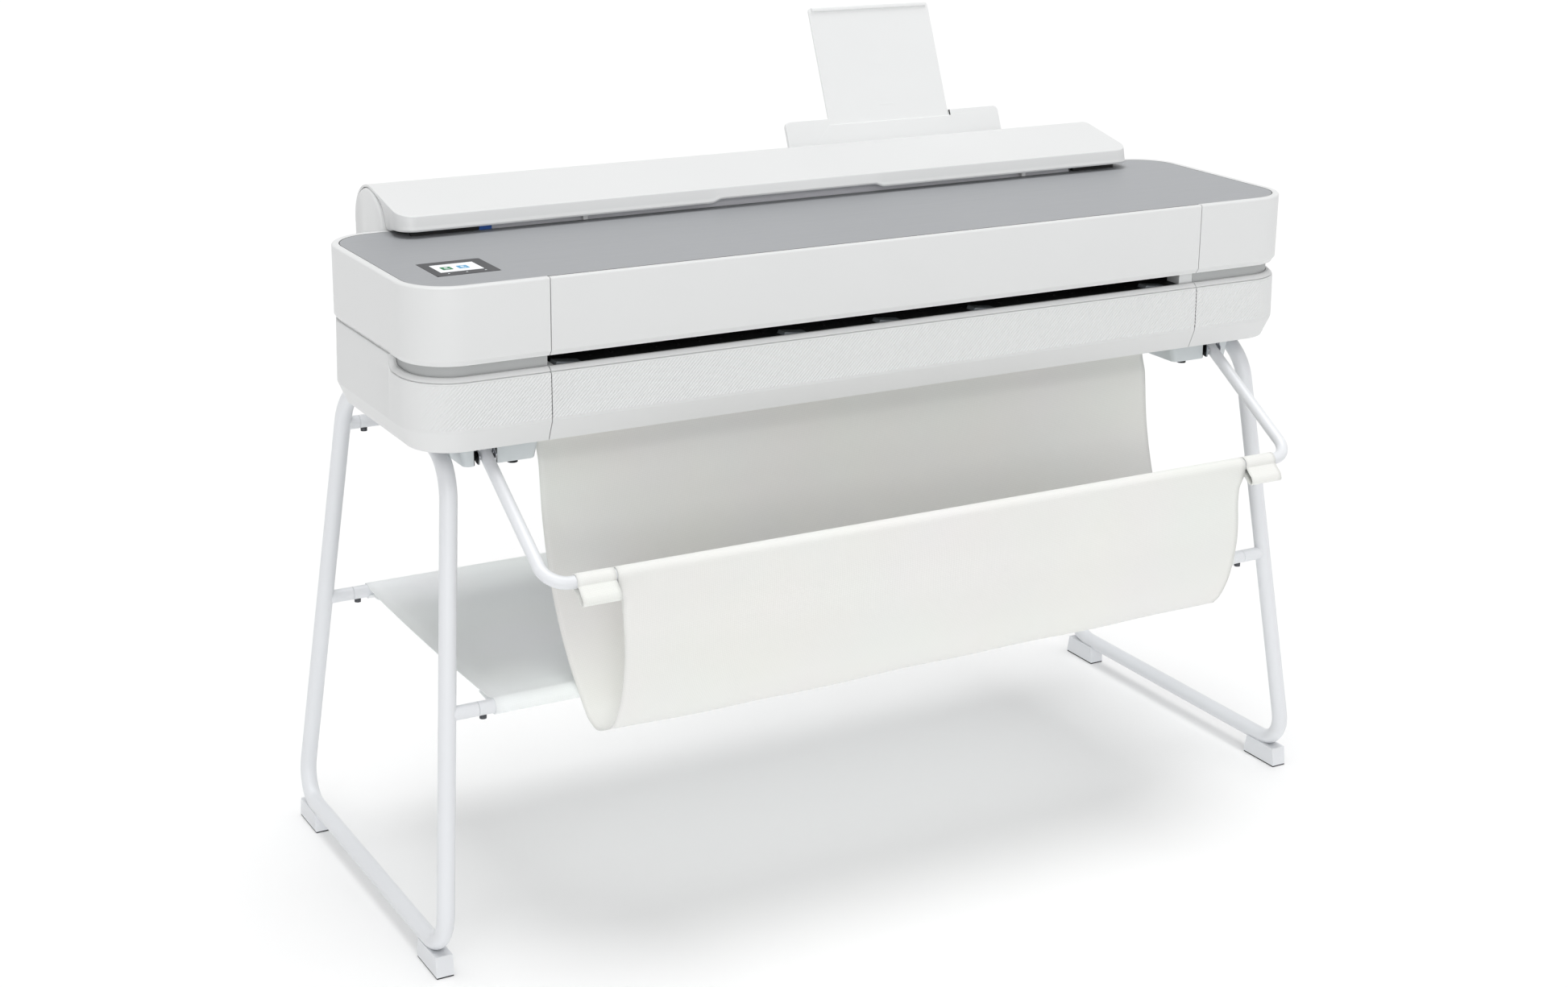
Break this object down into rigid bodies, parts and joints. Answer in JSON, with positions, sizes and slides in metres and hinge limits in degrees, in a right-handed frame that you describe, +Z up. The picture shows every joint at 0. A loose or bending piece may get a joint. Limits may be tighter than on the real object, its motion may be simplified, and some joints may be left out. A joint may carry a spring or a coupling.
{
  "type": "large format plotter",
  "caption": "Wide roll printer on a tubular stand, with a lifting front window, hinged roll cover, folding sheet feeder and cloth media basket.",
  "frame": {"origin": "centre of the whole box, at floor level, with every lid and the basket as stored", "axes": "+X to the operator's right along the roll, +Y from the front to the back, +Z up"},
  "size_m": [1.346, 0.6992, 1.0817],
  "materials": {
    "white_shell": "smooth cool white moulding",
    "fascia": "fine satin white",
    "deck": "soft satin grey sheet",
    "bezel": "dark grey gloss",
    "screen": "lit touch screen",
    "black_plastic": "matt black",
    "steel": "plain steel",
    "bright_rod": "ground bright",
    "rubber": "matt black rubber",
    "paper": "plain white paper",
    "hub_blue": "blue moulding",
    "grey_plastic": "grey moulding",
    "circuit": "green board",
    "ink": "dark cartridge",
    "frame_white": "cool white powder coat",
    "bracket": "pale blue grey moulding",
    "bolt": "dark zinc",
    "cloth": "warm white woven cloth",
    "shelf": "cool white woven cloth"
  },
  "bodies": {
    "printer": {"upper_casing_centre": "white_shell", "upper_casing_left": "white_shell", "upper_casing_right": "white_shell", "lower_casing_centre": "fascia", "lower_casing_left": "fascia", "lower_casing_right": "fascia", "waist_channels": "fascia", "deck_plate": "deck", "display_bezel": "bezel", "display_screen": "screen", "platen": "black_plastic", "sheet_ramps": "black_plastic", "rear_casing": "white_shell", "base_pan": "steel", "roll_end_left": "white_shell", "roll_end_right": "white_shell", "hinge_pins": "bright_rod", "guide_rod": "bright_rod", "carriage_beam": "steel", "carriage_belt": "rubber", "drive_motors": "steel", "main_board": "circuit", "power_supply": "steel", "power_inlet": "black_plastic", "io_panel": "black_plastic", "chassis_end_left": "steel", "chassis_end_right": "steel", "side_frame_left": "frame_white", "side_frame_right": "frame_white", "cross_bars": "frame_white", "paper_web": "paper", "loading_guide": "black_plastic", "frame_bolts": "bolt", "foot_blocks": "frame_white", "foot_pads": "rubber", "pivot_pins": "bright_rod", "under_brackets": "bracket", "bracket_stops": "rubber", "basket_back": "cloth", "hang_rod": "steel", "shelf_cloth": "shelf"},
    "front_window": {"front_window": "white_shell"},
    "roll_cover": {"roll_cover": "white_shell"},
    "feeder_flap": {"feeder_flap": "white_shell"},
    "feeder_extension": {"feeder_extension": "white_shell"},
    "roll": {"roll_spindle": "black_plastic", "spindle_hubs": "hub_blue", "paper_roll": "paper", "spindle_gear": "black_plastic"},
    "spindle_pinion": {"spindle_pinion": "grey_plastic"},
    "feed_roller": {"feed_roller": "rubber"},
    "feed_pinion": {"feed_pinion": "grey_plastic"},
    "pinch_rollers": {"pinch_rollers": "rubber"},
    "carriage": {"carriage": "black_plastic", "ink_cartridges": "ink"},
    "idler_pulley": {"idler_pulley": "steel"},
    "drive_pulley": {"drive_pulley": "steel"},
    "basket_bar": {"basket_bar": "frame_white", "basket_front": "cloth", "sleeve_loops": "cloth"}
  },
  "joints": [
    {"name": "front_window_hinge", "type": "hinge", "parent": "printer", "child": "front_window", "pos_m": [0, -0.19155, 0.8533], "axis": [-1, 0, 0], "range_deg": [0, 75]},
    {"name": "roll_cover_hinge", "type": "hinge", "parent": "printer", "child": "roll_cover", "pos_m": [0, 0.25195, 0.843], "axis": [-1, 0, 0], "range_deg": [0, 70]},
    {"name": "feeder_flap_hinge", "type": "hinge", "parent": "roll_cover", "child": "feeder_flap", "pos_m": [0.2825, 0.26495, 0.885], "axis": [1, 0, 0], "range_deg": [0, 84]},
    {"name": "feeder_extension_slide", "type": "slide", "parent": "feeder_flap", "child": "feeder_extension", "axis": [0, 0.3907, 0.9205], "range_m": [-0.044, 0]},
    {"name": "roll_spin", "type": "hinge", "parent": "printer", "child": "roll", "pos_m": [0, 0.19145, 0.854], "axis": [1, 0, 0], "continuous": true},
    {"name": "spindle_pinion_spin", "type": "hinge", "parent": "printer", "child": "spindle_pinion", "pos_m": [-0.546, 0.19145, 0.82025], "axis": [1, 0, 0], "continuous": true},
    {"name": "feed_roller_spin", "type": "hinge", "parent": "printer", "child": "feed_roller", "pos_m": [0, -0.08505, 0.744], "axis": [1, 0, 0], "continuous": true},
    {"name": "feed_pinion_spin", "type": "hinge", "parent": "printer", "child": "feed_pinion", "pos_m": [-0.508, -0.04305, 0.744], "axis": [1, 0, 0], "continuous": true},
    {"name": "pinch_rollers_spin", "type": "hinge", "parent": "printer", "child": "pinch_rollers", "pos_m": [0, -0.08505, 0.7624], "axis": [1, 0, 0], "continuous": true},
    {"name": "carriage_slide", "type": "slide", "parent": "printer", "child": "carriage", "axis": [1, 0, 0], "range_m": [-0.85, 0]},
    {"name": "idler_pulley_spin", "type": "hinge", "parent": "printer", "child": "idler_pulley", "pos_m": [-0.478, -0.06305, 0.792], "axis": [0, 1, 0], "range_deg": [0, 5600]},
    {"name": "drive_pulley_spin", "type": "hinge", "parent": "printer", "child": "drive_pulley", "pos_m": [0.478, -0.06305, 0.792], "axis": [0, 1, 0], "range_deg": [0, 5600]},
    {"name": "basket_bar_hinge", "type": "hinge", "parent": "printer", "child": "basket_bar", "pos_m": [0, -0.14305, 0.641], "axis": [-1, 0, 0], "range_deg": [0, 30]}
  ],
  "couplings": [
    {"joint": "spindle_pinion_spin", "follows": "roll_spin", "ratio": -2},
    {"joint": "feed_pinion_spin", "follows": "feed_roller_spin", "ratio": -2.5},
    {"joint": "pinch_rollers_spin", "follows": "feed_roller_spin", "ratio": -2},
    {"joint": "idler_pulley_spin", "follows": "carriage_slide", "rad_per_m": -113.64},
    {"joint": "drive_pulley_spin", "follows": "carriage_slide", "rad_per_m": -113.64}
  ]
}
